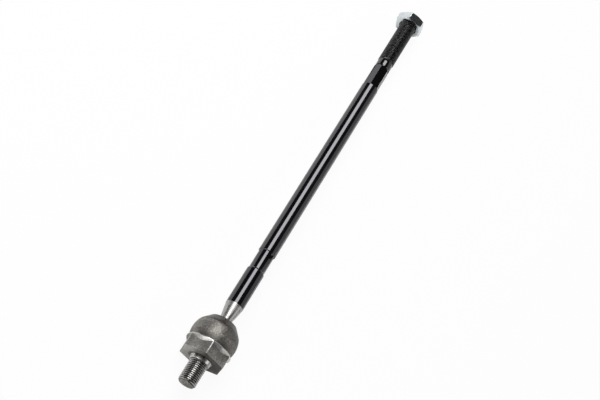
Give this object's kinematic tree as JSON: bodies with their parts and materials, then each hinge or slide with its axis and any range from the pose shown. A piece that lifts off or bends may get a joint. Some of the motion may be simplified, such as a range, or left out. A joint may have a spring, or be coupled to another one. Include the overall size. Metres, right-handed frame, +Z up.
{
  "type": "inner tie rod",
  "caption": "Steering inner tie rod: hexagonal ball-joint housing with a threaded rack stud, a swivelling rod with boot groove and wrench flats, and a lock nut on its outer thread.",
  "frame": {"origin": "On the rack stud's axis at its root, in the collar's end face that the stud stands on.", "axes": "+X along the straight rod from the rack to the wheel end with the lock nut, +Z up as the part lies on a floor, +Y to the left seen from the rack."},
  "size_m": [0.3815, 0.0362, 0.0362],
  "materials": {
    "forged_steel": "dark phosphated forging, mottled, matt",
    "bearing_polymer": "natural white, greased",
    "spring_steel": "blued spring steel",
    "black_coated_steel": "smooth gloss black",
    "zinc_steel": "bright zinc plate"
  },
  "bodies": {
    "housing": {"housing": "forged_steel"},
    "bearings": {"upper_bearing": "bearing_polymer", "lower_bearing": "bearing_polymer", "preload_spring": "spring_steel"},
    "tie_rod": {"tie_rod": "black_coated_steel"},
    "lock_nut": {"lock_nut": "zinc_steel"}
  },
  "joints": [
    {"name": "joint_turn", "type": "hinge", "parent": "housing", "child": "bearings", "pos_m": [0.021, 0, 0], "axis": [1, 0, 0], "continuous": true},
    {"name": "joint_swing", "type": "hinge", "parent": "bearings", "child": "tie_rod", "pos_m": [0.021, 0, 0], "axis": [0, 0, 1], "range_deg": [-20, 20]},
    {"name": "nut_run", "type": "slide", "parent": "tie_rod", "child": "lock_nut", "axis": [-1, 0, 0], "range_m": [-0.0015, 0.042]}
  ]
}
